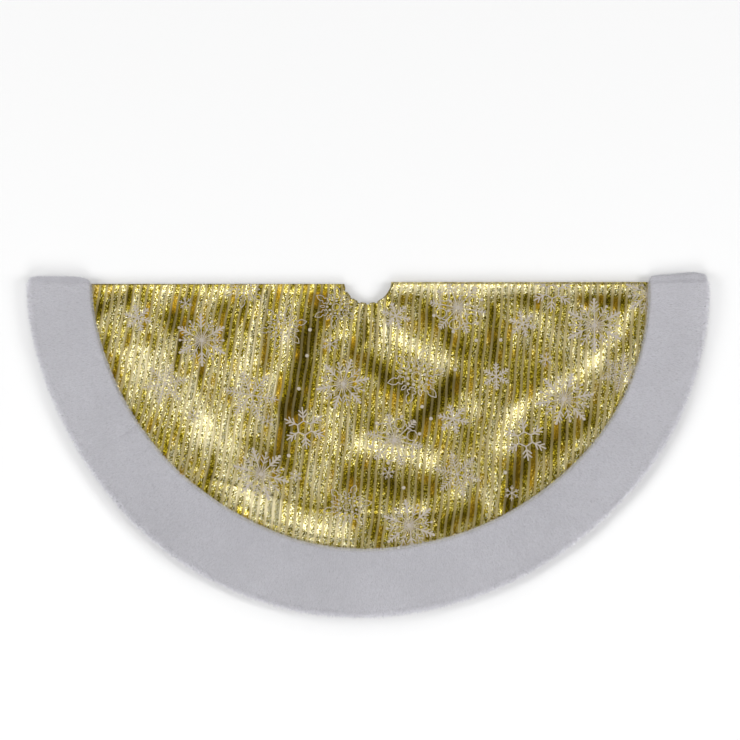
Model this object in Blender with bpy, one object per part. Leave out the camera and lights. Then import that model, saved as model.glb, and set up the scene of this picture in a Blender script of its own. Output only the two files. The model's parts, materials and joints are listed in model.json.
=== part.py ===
"""Tree skirt, folded in half: face cloth, lining and plush border in four quarters.

The skirt is a flat ring of cloth with one slit from the rim to the trunk hole. It lies
folded in half, right side out: the front half on top, the back half face down under it.
Each half has a second crease down its middle, where it folds once more for storage.
So the solids are four quarters, which turn on each other at the creases.
Metres, +Z up. The origin is the middle of the folded skirt, on the surface it lies on.
"""

import math

import bmesh
import bpy
from mathutils import Matrix, Vector

# Driving dimensions
RIM_RADIUS = 0.6096  # a 48 inch skirt, to the outer edge of the border
BORDER_WIDTH = 0.115
HOLE_RADIUS = 0.042  # the trunk hole
PLUSH_HEIGHT = 0.0085  # ground cloth and pile, lying under its own weight
FACE_THICKNESS = 0.0008
LINING_THICKNESS = 0.0005
PLUSH_CROWN = 0.004  # how far the border's top rounds down to its edges
LAP_WIDTH = 0.010  # the face cloth runs this far in under the border
HEM_WIDTH = 0.006  # the plush turns round the lining's raw edge by this much
UNDERCUT = 0.002  # how far the border's rim draws in at its underside
SEAM_GAP = 0.0003  # between two pieces that touch
CREASE_GAP = 0.0004  # between two quarters that turn on each other

# Hook and loop closures along the slit
TAB_COUNT = 3
TAB_LENGTH = 0.050
TAB_WIDTH = 0.020
TAB_THICKNESS = 0.0016
TAB_INSET = 0.011  # from the slit's edge, clear of its topstitching
TAB_CORNER = 0.002

# Topstitching
THREAD_RADIUS = 0.0003
STITCH_INSET = 0.005  # from the edge that it holds down
THREAD_PITCH = 0.012  # between the points of a thread's line

# How finely the round shapes are cut
ARC_STEP = math.radians(3.75)  # of every round outline
CROWN_STEPS = 4  # of each rounded edge of the border
CORNER_STEPS = 3  # of each tab's corners

# What follows from them
SEAM_RADIUS = RIM_RADIUS - BORDER_WIDTH  # where the border begins
LINING_EDGE = RIM_RADIUS - HEM_WIDTH
FOLD_Y = (RIM_RADIUS + CREASE_GAP / 2) / 2  # the half fold's line
INSIDE_GAP = TAB_THICKNESS + 2 * SEAM_GAP  # between the two linings
LINING_FROM = INSIDE_GAP / 2  # heights from the fold's plane, outwards
LINING_TO = LINING_FROM + LINING_THICKNESS
FACE_FROM = LINING_TO + SEAM_GAP
FACE_TO = FACE_FROM + FACE_THICKNESS
LAP_FROM = FACE_TO + SEAM_GAP  # the border over the face cloth's edge
BORDER_TO = FACE_FROM + PLUSH_HEIGHT
FOLD_Z = BORDER_TO  # so that the back border lies on the surface

FRONT, BACK = 1, -1  # which way a half's outside faces
RIGHT, LEFT = 1, -1
QUARTERS = (
    ("front_right", FRONT, RIGHT),
    ("front_left", FRONT, LEFT),
    ("back_right", BACK, RIGHT),
    ("back_left", BACK, LEFT),
)


def clear_scene():
    for obj in list(bpy.data.objects):
        bpy.data.objects.remove(obj, do_unlink=True)


def new_collection(name):
    collection = bpy.data.collections.new(name)
    bpy.context.scene.collection.children.link(collection)
    return collection


def cloth_material(name, colour, roughness, metallic=0.0):
    material = bpy.data.materials.new(name)
    material.use_nodes = True
    shader = material.node_tree.nodes["Principled BSDF"]
    shader.inputs["Base Color"].default_value = (*colour, 1.0)
    shader.inputs["Roughness"].default_value = roughness
    shader.inputs["Metallic"].default_value = metallic
    return material


def height(half, level):
    """World height of a level that is counted outwards from the fold's plane."""
    return FOLD_Z + half * level


def sector_arc(radius, from_crease, from_fold):
    """Points round one quarter's arc, from the middle crease to the half fold."""
    start = math.asin(from_crease / radius)
    end = math.pi / 2 - math.asin(from_fold / radius)
    steps = max(2, round((end - start) / ARC_STEP))
    angles = [start + (end - start) * i / steps for i in range(steps + 1)]
    return [(radius * math.sin(a), -radius * math.cos(a)) for a in angles]


def flat_solid(name, outline, side, half, low, high):
    """A flat piece of cloth: its outline is a filled curve, extruded to its thickness."""
    curve = bpy.data.curves.new(name, "CURVE")
    curve.dimensions = "2D"
    curve.fill_mode = "BOTH"
    curve.extrude = (high - low) / 2
    spline = curve.splines.new("POLY")
    spline.points.add(len(outline) - 1)
    for point, (x, y) in zip(spline.points, outline):
        point.co = (side * x, y, 0.0, 1.0)
    spline.use_cyclic_u = True
    obj = bpy.data.objects.new(name, curve)
    obj.location = (0.0, FOLD_Y, height(half, (low + high) / 2))
    skirt.objects.link(obj)
    return obj


def sheet_quarter(name, side, half, inner, outer, low, high, material):
    """A quarter of a ring of cloth between two radii."""
    gap = CREASE_GAP / 2
    rim = sector_arc(outer, gap, gap)
    hole = sector_arc(inner, gap, gap)
    obj = flat_solid(name, rim + hole[::-1], side, half, low, high)
    obj.data.materials.append(material)
    return obj


def plush_profile():
    """The border's cross-section as (radius, level): lapped over the face cloth at its
    inner edge, flat underneath, and crowned on top."""
    inner = SEAM_RADIUS
    lap = SEAM_RADIUS + LAP_WIDTH + SEAM_GAP
    rim = RIM_RADIUS
    points = [(inner, LAP_FROM), (lap, LAP_FROM), (lap, FACE_FROM), (rim - UNDERCUT, FACE_FROM)]
    turns = [math.pi / 2 * i / CROWN_STEPS for i in range(CROWN_STEPS + 1)]
    rounding = [(PLUSH_CROWN * (1 - math.cos(t)), PLUSH_CROWN * (1 - math.sin(t))) for t in turns]
    points += [(rim - inwards, BORDER_TO - down) for inwards, down in rounding]
    points += [(inner + inwards, BORDER_TO - down) for inwards, down in reversed(rounding)]
    return points


def plush_quarter(name, side, half, material):
    """A quarter of the border: the cross-section turned about the skirt's centre."""
    inset = CREASE_GAP / 2 / SEAM_RADIUS
    turn = math.pi / 2 - 2 * inset
    steps = round(turn / ARC_STEP)
    shape = bmesh.new()
    section = [shape.verts.new((radius, 0.0, half * level)) for radius, level in plush_profile()]
    face = shape.faces.new(section)
    bmesh.ops.spin(
        shape,
        geom=[face, *face.edges, *section],
        axis=(0.0, 0.0, 1.0),
        cent=(0.0, 0.0, 0.0),
        angle=-turn,
        steps=steps,
    )
    bmesh.ops.rotate(
        shape, verts=shape.verts, cent=(0, 0, 0), matrix=Matrix.Rotation(-inset, 3, "Z")
    )
    if side == LEFT:
        bmesh.ops.scale(shape, vec=(-1.0, 1.0, 1.0), verts=shape.verts)
    bmesh.ops.recalc_face_normals(shape, faces=shape.faces)
    mesh = bpy.data.meshes.new(name)
    shape.to_mesh(mesh)
    shape.free()
    mesh.materials.append(material)
    obj = bpy.data.objects.new(name, mesh)
    obj.location = (0.0, FOLD_Y, FOLD_Z)
    skirt.objects.link(obj)
    return obj


def patch(name, centre, size, material, corner):
    """A small flat piece with rounded corners, such as a closure tab."""
    shape = bmesh.new()
    bmesh.ops.create_cube(shape, size=1.0)
    bmesh.ops.scale(shape, vec=size, verts=shape.verts)
    upright = [e for e in shape.edges if abs(e.verts[0].co.z - e.verts[1].co.z) > size[2] / 2]
    bmesh.ops.bevel(
        shape,
        geom=upright,
        offset=corner,
        segments=CORNER_STEPS,
        profile=0.5,
        affect="EDGES",
        material=-1,
    )
    mesh = bpy.data.meshes.new(name)
    shape.to_mesh(mesh)
    shape.free()
    mesh.materials.append(material)
    obj = bpy.data.objects.new(name, mesh)
    obj.location = centre
    skirt.objects.link(obj)
    return obj


def thread(name, line, half, material):
    """A row of topstitching, laid along its line on the face cloth."""
    curve = bpy.data.curves.new(name, "CURVE")
    curve.dimensions = "3D"
    curve.bevel_depth = THREAD_RADIUS
    curve.bevel_resolution = 1
    curve.use_fill_caps = True
    spline = curve.splines.new("POLY")
    spline.points.add(len(line) - 1)
    for point, (x, y) in zip(spline.points, line):
        point.co = (x, y, 0.0, 1.0)
    curve.materials.append(material)
    obj = bpy.data.objects.new(name, curve)
    obj.location = (0.0, FOLD_Y, height(half, FACE_TO + SEAM_GAP + THREAD_RADIUS))
    skirt.objects.link(obj)
    return obj


def slit_line(side):
    """Along the slit, just inside the turned edge, from the hole to the border."""
    start = math.sqrt(HOLE_RADIUS**2 - STITCH_INSET**2) + STITCH_INSET
    end = SEAM_RADIUS - STITCH_INSET
    count = round((end - start) / THREAD_PITCH)
    return [(side * (start + (end - start) * i / count), -STITCH_INSET) for i in range(count + 1)]


def hole_line(side):
    """Round the trunk hole, from the middle crease to the slit or the half fold."""
    arc = sector_arc(HOLE_RADIUS + STITCH_INSET, STITCH_INSET / 2, STITCH_INSET * 2)
    return [(side * x, y) for x, y in arc]


def tab_places():
    """How far out along the slit each closure sits: evenly between hole and border."""
    run = SEAM_RADIUS - HOLE_RADIUS
    return [HOLE_RADIUS + run * (2 * i + 1) / (2 * TAB_COUNT) for i in range(TAB_COUNT)]


clear_scene()
skirt = new_collection("tree_skirt")

gold_cloth = cloth_material("gold_face_cloth", (0.62, 0.50, 0.16), 0.35, 0.8)
white_lining = cloth_material("white_lining", (0.80, 0.79, 0.77), 0.6)
white_plush = cloth_material("white_plush", (0.78, 0.77, 0.79), 0.95)
tab_tape = cloth_material("closure_tape", (0.82, 0.81, 0.80), 0.8)
gold_thread = cloth_material("gold_thread", (0.70, 0.58, 0.25), 0.5)

LAYERS = (
    ("lining", LINING_EDGE, LINING_FROM, LINING_TO, white_lining),
    ("face_cloth", SEAM_RADIUS + LAP_WIDTH, FACE_FROM, FACE_TO, gold_cloth),
)

for quarter, half, side in QUARTERS:
    for layer, outer, low, high, material in LAYERS:
        sheet_quarter(f"{quarter}_{layer}", side, half, HOLE_RADIUS, outer, low, high, material)
    plush_quarter(f"{quarter}_plush_border", side, half, white_plush)
    thread(f"{quarter}_hole_stitching", hole_line(side), half, gold_thread)
    if side == LEFT:
        thread(f"{quarter}_slit_stitching", slit_line(side), half, gold_thread)

# The hook tabs are on the inside of the front edge of the slit. The loop tabs are on
# the outside of the back edge, so that the front edge laps over them round a trunk.
TAB_SIZE = Vector((TAB_LENGTH, TAB_WIDTH, TAB_THICKNESS))
TAB_Y = FOLD_Y - TAB_INSET - TAB_WIDTH / 2
LOOP_Z = height(BACK, FACE_TO + SEAM_GAP + TAB_THICKNESS / 2)
for number, out in enumerate(tab_places(), start=1):
    patch(f"hook_tab_{number}", (-out, TAB_Y, FOLD_Z), TAB_SIZE, tab_tape, TAB_CORNER)
    patch(f"loop_tab_{number}", (-out, TAB_Y, LOOP_Z), TAB_SIZE, tab_tape, TAB_CORNER)
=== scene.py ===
"""Tree skirt, folded in half: a metallic striped face cloth with printed snowflakes, a
short-pile plush border and a plain lining.

Metres, +Z up. The fold lies along X at the far side, and the front half is on top.
"""

import json
import math

import bmesh
import bpy
import numpy as np
from mathutils import Matrix, Vector


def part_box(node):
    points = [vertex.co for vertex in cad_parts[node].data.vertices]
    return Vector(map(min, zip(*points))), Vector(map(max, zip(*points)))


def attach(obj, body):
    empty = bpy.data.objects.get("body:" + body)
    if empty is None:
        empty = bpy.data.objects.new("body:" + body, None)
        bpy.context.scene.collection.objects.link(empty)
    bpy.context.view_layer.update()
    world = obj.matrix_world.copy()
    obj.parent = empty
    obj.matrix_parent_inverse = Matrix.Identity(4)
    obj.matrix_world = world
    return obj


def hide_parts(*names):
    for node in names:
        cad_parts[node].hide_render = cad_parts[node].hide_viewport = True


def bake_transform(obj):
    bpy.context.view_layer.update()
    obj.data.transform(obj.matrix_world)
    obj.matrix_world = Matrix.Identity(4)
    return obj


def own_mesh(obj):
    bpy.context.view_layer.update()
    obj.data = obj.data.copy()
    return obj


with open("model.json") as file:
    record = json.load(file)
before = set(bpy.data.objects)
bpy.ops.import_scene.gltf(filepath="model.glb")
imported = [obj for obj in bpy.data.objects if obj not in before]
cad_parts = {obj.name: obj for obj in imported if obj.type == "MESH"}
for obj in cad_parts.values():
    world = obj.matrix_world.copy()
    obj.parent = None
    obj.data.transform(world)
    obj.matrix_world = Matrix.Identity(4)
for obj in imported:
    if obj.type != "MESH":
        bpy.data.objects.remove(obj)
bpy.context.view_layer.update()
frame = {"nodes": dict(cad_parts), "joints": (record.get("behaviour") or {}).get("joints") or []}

# ---------------------------------------------------------------- floor, lights, camera
# A pale floor under soft studio light, and a camera that looks down on the skirt from
# the side of its curved rim.

joints = {joint["name"]: joint for joint in frame["joints"]}
FOLD_Y, FOLD_Z = joints["half_fold"]["pos_m"][1:]
CAMERA_ELEVATION = math.radians(74)
CAMERA_DISTANCE = 4.93
CAMERA_AIM = Vector((0.004, FOLD_Y - 0.160, FOLD_Z))
FLOOR_HALF = 6.0  # the floor's half width
FLOOR_LEVEL = -0.0015
SOFTBOX_LEVEL, SOFTBOX_SIZE = 3.2, 2.2


def mesh_of(shape, name):
    """A shape's mesh, with its faces and their corners in the same order on every run."""
    shape.verts.index_update()
    points = [vert.co.copy() for vert in shape.verts]
    rings = []
    for face in shape.faces:
        ring = [vert.index for vert in face.verts]
        first = ring.index(min(ring))
        rings.append(ring[first:] + ring[:first])
    shape.free()
    mesh = bpy.data.meshes.new(name)
    mesh.from_pydata(points, [], sorted(rings))
    mesh.update()
    return mesh


def plain_material(name, colour, roughness, **sockets):
    material = bpy.data.materials.new(name)
    material.use_nodes = True
    shader = material.node_tree.nodes["Principled BSDF"]
    shader.inputs["Base Color"].default_value = (*colour, 1.0)
    shader.inputs["Roughness"].default_value = roughness
    for socket, value in sockets.items():
        shader.inputs[socket.replace("_", " ").title()].default_value = value
    return material


def softbox(name, place, size, power):
    """A square light that shines at the middle of the floor."""
    lamp = bpy.data.lights.new(name, "AREA")
    lamp.shape = "RECTANGLE"
    lamp.size = lamp.size_y = size
    lamp.energy = power
    box = bpy.data.objects.new(name, lamp)
    box.location = place
    box.rotation_euler = (-Vector(place)).to_track_quat("-Z", "Y").to_euler()
    bpy.context.scene.collection.objects.link(box)


floor_shape = bmesh.new()
bmesh.ops.create_grid(floor_shape, x_segments=1, y_segments=1, size=FLOOR_HALF)
floor_mesh = mesh_of(floor_shape, "floor")
floor_mesh.transform(Matrix.Translation((0, 0, FLOOR_LEVEL)))
floor = bpy.data.objects.new("floor", floor_mesh)
floor.data.materials.append(plain_material("floor_paper", (0.93, 0.93, 0.93), 0.9))
bpy.context.scene.collection.objects.link(floor)

world = bpy.data.worlds.new("studio")
world.use_nodes = True
world.node_tree.nodes["Background"].inputs["Color"].default_value = (1.0, 1.0, 1.0, 1.0)
world.node_tree.nodes["Background"].inputs["Strength"].default_value = 0.22
bpy.context.scene.world = world
bpy.context.scene.view_settings.view_transform = "Standard"

# The key light stands near where the cloth would mirror it, so slack and creases show.
softbox("key_softbox", (-2.1, 6.6, 12.2), 3.0, 285)
for name, x, y, power in (
    ("front_softbox", 0.3, -4.2, 97),
    ("left_softbox", -4.0, -0.9, 98),
    ("right_softbox", 4.0, -0.9, 98),
    ("back_softbox", 0.0, 4.4, 54),
):
    softbox(name, (x, y, SOFTBOX_LEVEL), SOFTBOX_SIZE, power)

camera_data = bpy.data.cameras.new("camera")
camera_data.lens = 135
camera = bpy.data.objects.new("camera", camera_data)
away = Vector((0.0, -math.cos(CAMERA_ELEVATION), math.sin(CAMERA_ELEVATION)))
camera.location = CAMERA_AIM + away * CAMERA_DISTANCE
camera.rotation_euler = (-away).to_track_quat("-Z", "Y").to_euler()
bpy.context.scene.collection.objects.link(camera)
bpy.context.scene.camera = camera

# -------------------------------------------------------------------- gold face cloth
# A round of light metallic cloth, woven in matte and glittering stripes. It lies slack
# inside its border, so it swells and creases. Each half is one sheet from the trunk
# hole to the seam under the border.

HALVES = {"front": 1, "back": -1}  # which way the half's outside faces


def nearest_to_middle(node):
    """How close a node comes to the middle of the trunk hole, seen from above."""
    return min(math.hypot(v.co.x, v.co.y - FOLD_Y) for v in frame["nodes"][node].data.vertices)


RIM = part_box("front_right_plush_border")[1].x
HOLE = nearest_to_middle("front_right_lining")
SEAM = nearest_to_middle("front_right_plush_border")
FACE_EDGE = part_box("front_right_face_cloth")[1].x  # under the border
FACE_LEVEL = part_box("front_right_face_cloth")[1].z - FOLD_Z  # outwards from the fold's plane
LINING_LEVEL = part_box("front_right_lining")[1].z - FOLD_Z
BORDER_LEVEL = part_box("front_right_plush_border")[1].z - FOLD_Z

ROLL_RISE = 0.0078  # the fold's crest, above the fold's plane
ROLL_CENTRE = 0.009  # how far the crest lies in from the fold line
ROLL_REACH = 0.004  # how far the fold bulges past its line
ROLL_FADE = 0.040  # where the roll has sunk into the face

# Slack shows as swells that tilt to or from the light. Each is a stretch of cloth from
# one point to another, as (x, distance from the fold line), its width and its tilt.
FRONT_SWELLS = (
    ((-0.088, 0.040), (-0.132, 0.235), 0.021, -1.6),
    ((-0.132, 0.235), (-0.152, 0.330), 0.018, -1.1),
    ((-0.203, 0.300), (-0.203, 0.310), 0.015, -0.6),
    ((-0.352, 0.062), (-0.346, 0.080), 0.018, -1.0),
    ((-0.300, 0.090), (-0.230, 0.070), 0.038, -0.45),
    ((-0.490, 0.055), (-0.440, 0.030), 0.014, -0.8),
    ((-0.412, 0.134), (-0.297, 0.270), 0.032, 1.0),
    ((-0.297, 0.270), (-0.225, 0.385), 0.024, 1.1),
    ((-0.215, 0.410), (-0.060, 0.468), 0.026, 1.3),
    ((-0.208, 0.062), (-0.243, 0.315), 0.020, 0.6),
    ((-0.137, 0.034), (-0.168, 0.206), 0.011, 0.6),
    ((-0.066, 0.100), (-0.064, 0.190), 0.016, 0.5),
    ((-0.066, 0.250), (-0.084, 0.390), 0.016, 0.6),
    ((-0.332, 0.016), (-0.217, 0.016), 0.009, 0.5),
    ((-0.024, 0.122), (0.066, 0.202), 0.015, -1.1),
    ((0.032, 0.089), (0.136, 0.150), 0.016, 1.2),
    ((0.147, 0.188), (0.081, 0.272), 0.018, -1.6),
    ((0.085, 0.030), (0.165, 0.125), 0.013, -0.8),
    ((0.223, 0.050), (0.225, 0.140), 0.008, -0.8),
    ((0.288, 0.024), (0.292, 0.028), 0.013, -0.9),
    ((0.398, 0.030), (0.450, 0.040), 0.011, -1.0),
    ((0.215, 0.120), (0.275, 0.175), 0.042, -0.45),
    ((0.290, 0.062), (0.396, 0.143), 0.012, 0.5),
    ((0.463, 0.052), (0.405, 0.140), 0.014, 0.8),
    ((0.396, 0.152), (0.263, 0.243), 0.014, 0.9),
    ((0.263, 0.243), (0.234, 0.310), 0.014, 0.8),
    ((0.458, 0.140), (0.460, 0.170), 0.012, 0.6),
    ((0.387, 0.252), (0.316, 0.297), 0.016, -0.8),
    ((0.300, 0.310), (0.265, 0.350), 0.018, -0.9),
    ((0.262, 0.345), (0.247, 0.415), 0.014, -1.3),
    ((0.212, 0.390), (0.216, 0.430), 0.008, 1.1),
    ((0.343, 0.333), (0.414, 0.261), 0.008, 0.6),
    ((-0.012, 0.297), (0.112, 0.330), 0.017, 1.2),
    ((-0.030, 0.360), (0.121, 0.396), 0.023, -0.7),
    ((0.165, 0.387), (0.068, 0.424), 0.012, 0.6),
    ((0.183, 0.424), (0.137, 0.451), 0.012, -1.0),
    ((0.014, 0.458), (0.014, 0.464), 0.013, -0.8),
    ((0.172, 0.275), (0.176, 0.283), 0.018, -0.5),
    ((0.180, 0.215), (0.190, 0.240), 0.014, 0.6),
    ((0.045, 0.011), (0.300, 0.012), 0.009, 1.7),
    ((0.300, 0.012), (0.490, 0.014), 0.007, 1.0),
)
LIGHT_WAY = Vector((-0.6, 0.8))  # towards the key light, seen from above
SWELL_TILT = 0.14  # the slope of a swell whose tilt is 1
SWELL_LENGTH = 0.30  # longer waves than this lie flat
CELL = 0.0025  # of the grid that the swells are worked out on
GRID_X, GRID_V = 440, 232
GRID_PAST = 8  # of its rows lie past the fold line

# Narrow creases and gathers: from, to, width and height
FRONT_CREASES = (
    ((-0.175, 0.010), (-0.180, 0.165), 0.004, -0.0022),
    ((-0.186, 0.012), (-0.192, 0.150), 0.004, 0.0018),
    ((-0.014, 0.048), (-0.020, 0.125), 0.004, 0.0022),
    ((-0.004, 0.045), (-0.006, 0.110), 0.003, -0.0028),
    ((0.014, 0.047), (0.020, 0.105), 0.004, -0.0026),
    ((0.026, 0.040), (0.036, 0.090), 0.004, 0.0018),
    ((-0.280, 0.372), (-0.108, 0.418), 0.003, -0.0029),
    ((-0.108, 0.418), (-0.015, 0.430), 0.003, -0.0031),
    ((-0.015, 0.430), (0.125, 0.428), 0.004, 0.0014),
    ((0.228, 0.360), (0.234, 0.440), 0.005, 0.0035),
    ((0.245, 0.380), (0.247, 0.430), 0.007, -0.0022),
    ((-0.040, 0.035), (-0.075, 0.090), 0.006, 0.0022),
    ((0.260, 0.300), (0.235, 0.380), 0.006, 0.0018),
    ((0.395, 0.050), (0.455, 0.100), 0.005, 0.0014),
)
RIPPLES = ((0.045, 0.00030), (0.022, 0.00012), (0.012, 0.00004))  # their length and height
SWELL_TOP = 0.0068  # the highest swell over the flat cloth
SEAM_GATHER, HOLE_GATHER = 0.0007, 0.0009  # how high the cloth puckers along its seams
HEM_TURN = FACE_LEVEL - LINING_LEVEL - 0.0002  # how far the hem turns down to the lining
HEM_WIDTH = 0.0035


def distance_to(line, x, v):
    """How far each point lies from a line between two points."""
    (x0, v0), (x1, v1) = line
    run = np.array((x1 - x0, v1 - v0))
    along = ((x - x0) * run[0] + (v - v0) * run[1]) / max(run @ run, 1e-9)
    along = np.clip(along, 0, 1)
    return np.hypot(x - x0 - along * run[0], v - v0 - along * run[1])


def smooth_step(low, high, value):
    t = np.clip((value - low) / (high - low), 0, 1)
    return t * t * (3 - 2 * t)


def cloth_relief(swells, creases, seed):
    """Heights of the slack cloth over a flat one, on a grid over one half."""
    x = (np.arange(GRID_X) - GRID_X / 2) * CELL
    v = (np.arange(GRID_V) - GRID_PAST) * CELL
    x, v = np.meshgrid(x, v)
    tilt = np.zeros_like(x)
    for start, end, width, strength in swells:
        tilt += strength * SWELL_TILT * np.exp(-((distance_to((start, end), x, v) / width) ** 2))
    tilt = np.clip(tilt, -2 * SWELL_TILT, 2 * SWELL_TILT)
    tilt -= tilt.mean()
    waves_x = np.fft.fftfreq(GRID_X, CELL)[None, :] * math.tau
    waves_v = np.fft.fftfreq(GRID_V, CELL)[:, None] * math.tau
    towards = waves_x * LIGHT_WAY.x - waves_v * LIGHT_WAY.y
    damping = 0.06 * (waves_x**2 + waves_v**2) + (math.tau / SWELL_LENGTH) ** 2 * 0.5
    heights = np.fft.ifft2(1j * towards * np.fft.fft2(tilt) / (towards**2 + damping)).real
    for start, end, width, height in creases:
        heights += height * np.exp(-((distance_to((start, end), x, v) / width) ** 2))
    rng = np.random.default_rng(seed)
    for length, height in RIPPLES:
        noise = np.fft.fft2(rng.standard_normal(x.shape))
        size = np.hypot(waves_x, 2.6 * waves_v) * length / math.tau
        band = np.fft.ifft2(noise * np.exp(-((size - 1) ** 2) * 6)).real
        heights += height * band / band.std()
    return heights


def placed(lines, half):
    """Swells or creases of a half. The back's lie the other way round from the front's."""
    out = HALVES[half]
    return [((out * a[0], a[1]), (out * b[0], b[1]), *rest) for a, b, *rest in lines]


def half_relief(half):
    seed = {"front": 3, "back": 8}[half]
    return cloth_relief(placed(FRONT_SWELLS, half), placed(FRONT_CREASES, half), seed)


def painted_swell_light(half, points):
    """Painted light and shade of the swells and creases, from 0 to 1: low is painted shade, where a
    swell tilts away from the key light or a crease is hollow, and high is painted light, where a swell
    tilts towards it or a crease stands up.
    """
    x, v = points[:, 0], FOLD_Y - points[:, 1]
    slack = np.zeros_like(x)
    for start, end, width, strength in placed(FRONT_SWELLS, half):
        slack += strength * np.exp(-((distance_to((start, end), x, v) / (1.15 * width)) ** 2))
    for start, end, width, height in placed(FRONT_CREASES, half):
        slack += 150 * height * np.exp(-((distance_to((start, end), x, v) / (1.1 * width)) ** 2))
    return 0.5 + np.clip(slack, -1.7, 1.7) / 3.4


relief = {half: half_relief(half) for half in HALVES}


def cloth_level(half, x, y):
    """The face cloth's height above the fold's plane, outwards, at points of a half."""
    x, y = np.asarray(x, float), np.asarray(y, float)
    v = FOLD_Y - y
    column = np.clip(x / CELL + GRID_X / 2, 0, GRID_X - 1.001)
    row = np.clip(v / CELL + GRID_PAST, 0, GRID_V - 1.001)
    i, j = column.astype(int), row.astype(int)
    a, b = column - i, row - j
    grid = relief[half]
    swell = (grid[j, i] * (1 - a) + grid[j, i + 1] * a) * (1 - b)
    swell += (grid[j + 1, i] * (1 - a) + grid[j + 1, i + 1] * a) * b
    swell = SWELL_TOP / 2 * (1 + np.tanh(swell / (SWELL_TOP / 2) - 0.35))
    radius = np.hypot(x, v)
    angle = np.arctan2(v, x)
    gathers = np.sin(58 * angle + 2 * np.sin(9 * angle))
    seam_gather = SEAM_GATHER * gathers * np.exp(-(SEAM - radius) / 0.020)
    hole_gather = HOLE_GATHER * np.sin(15 * angle) * np.exp(-(radius - HOLE) / 0.030)
    at_seam = smooth_step(0.0, 0.016, SEAM - radius)
    at_hole = smooth_step(0.0, 0.020, radius - HOLE)
    at_fold = smooth_step(0.0, 0.022, v)
    level = FACE_LEVEL + (swell * at_hole * at_fold + seam_gather + hole_gather) * at_seam
    rise = ROLL_RISE * (1 + 0.10 * np.sin(x * 31) + 0.05 * np.sin(x * 83 + 1))
    crest = np.sqrt(np.clip(1 - ((ROLL_CENTRE - v) / (ROLL_CENTRE + ROLL_REACH)) ** 2, 0, 1))
    roll = np.where(v < ROLL_CENTRE, rise * crest, rise)
    folded = smooth_step(-0.008, 0.022, x) * (1 - smooth_step(ROLL_CENTRE, ROLL_FADE, v)) * at_seam
    level = level + folded * (roll - level)
    edge = np.where(x < 0, np.minimum(v, radius - HOLE), radius - HOLE)
    return level - HEM_TURN * (1 - smooth_step(0.0, HEM_WIDTH, edge))


# How far the whole rim has drawn in towards the hole, as (degrees round from the right
# end of the fold, metres). The two ends of the fold line stay where they are.
RIM_PULL = (
    *((0, 0.0), (14, 0.006), (30, 0.009), (48, 0.017), (66, 0.014), (84, 0.009)),
    *((97, 0.003), (112, 0.005), (130, 0.011), (150, 0.019), (166, 0.012), (180, 0.0)),
)
UNDER_PULL = {"front": 0.0, "back": 0.003}  # the back half lies a little further in
HOLE_PULL = 0.006  # how far the hole's edge has drawn in, at its middle
HOLE_PULL_REACH = 0.10  # where that has faded, out from the hole

# How far the seam has crept out towards the rim, in the same way
SEAM_CREEP = (
    *((0, 0.008), (12, 0.013), (30, 0.013), (48, 0.012), (66, 0.006), (84, -0.001)),
    *((100, -0.004), (118, -0.008), (132, -0.003), (150, 0.005), (166, 0.004), (180, 0.002)),
)


def eased(table, angle):
    """A value from a table of (angle, value), without sharp corners."""
    places, values = zip(*table)
    shifts = (-9, -5, 0, 5, 9)
    near = [np.interp(np.clip(angle + shift, 0, 180), places, values) for shift in shifts]
    return sum(near) / len(near)


def drawn_in(points, half):
    """The points of a half, moved in where its rim has drawn in."""
    x, v = points[:, 0], FOLD_Y - points[:, 1]
    angle = np.degrees(np.arctan2(np.maximum(v, 0), x))
    pull = eased(RIM_PULL, angle) + UNDER_PULL[half] * np.sin(np.radians(angle))
    radius = np.hypot(x, v)
    pull = pull * smooth_step(0.24, 0.50, radius)
    near_seam = smooth_step(0.34, 0.49, radius) * (1 - smooth_step(0.510, 0.600, radius))
    pull = pull - eased(SEAM_CREEP, angle) * near_seam
    near_hole = 1 - smooth_step(HOLE, HOLE + HOLE_PULL_REACH, radius)
    pull = pull + HOLE_PULL * np.sin(np.radians(angle)) * near_hole
    share = 1 - pull / np.maximum(radius, 1e-6)
    moved = points.copy()
    moved[:, 0] = x * share
    moved[:, 1] = FOLD_Y - v * share
    return moved


def turned(points, closed, axis, centre, angle, steps):
    """A line of points, or a closed ring of them, turned about an axis into cloth."""
    cloth = bmesh.new()
    line = [cloth.verts.new(point) for point in points]
    pairs = list(zip(line, line[1:]))
    if closed:
        pairs.append((line[-1], line[0]))
    edges = [cloth.edges.new(pair) for pair in pairs]
    bmesh.ops.spin(cloth, geom=line + edges, axis=axis, cent=centre, angle=angle, steps=steps)
    if closed:
        bmesh.ops.holes_fill(cloth, edges=[e for e in cloth.edges if e.is_boundary], sides=0)
        bmesh.ops.recalc_face_normals(cloth, faces=cloth.faces)
    return cloth


def half_ring(name, inner, outer, rings, steps):
    """A flat half ring of cloth, from the right of the fold line round to its left."""
    line = [(inner + (outer - inner) * i / rings, FOLD_Y, FOLD_Z) for i in range(rings + 1)]
    return mesh_of(turned(line, False, (0, 0, 1), (0, FOLD_Y, 0), -math.pi, steps), name)


def points_of(mesh):
    points = np.empty(len(mesh.vertices) * 3)
    mesh.vertices.foreach_get("co", points)
    return points.reshape(-1, 3)


def move_points(mesh, points):
    mesh.vertices.foreach_set("co", np.asarray(points, float).ravel())
    mesh.update()


def add_piece(name, mesh, *materials):
    for material in materials:
        mesh.materials.append(material)
    mesh.shade_smooth()
    piece = bpy.data.objects.new(name, mesh)
    bpy.context.scene.collection.objects.link(piece)
    return piece


def turn_out(mesh, way):
    """Turns the faces of an open sheet so that, all in all, they point along a way."""
    mesh.update()
    if sum(face.normal.dot(Vector(way)) * face.area for face in mesh.polygons) < 0:
        mesh.flip_normals()


def outward(mesh, half):
    """Turns the faces of an open sheet the way the half's outside faces."""
    turn_out(mesh, (0, 0, HALVES[half]))


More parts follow.
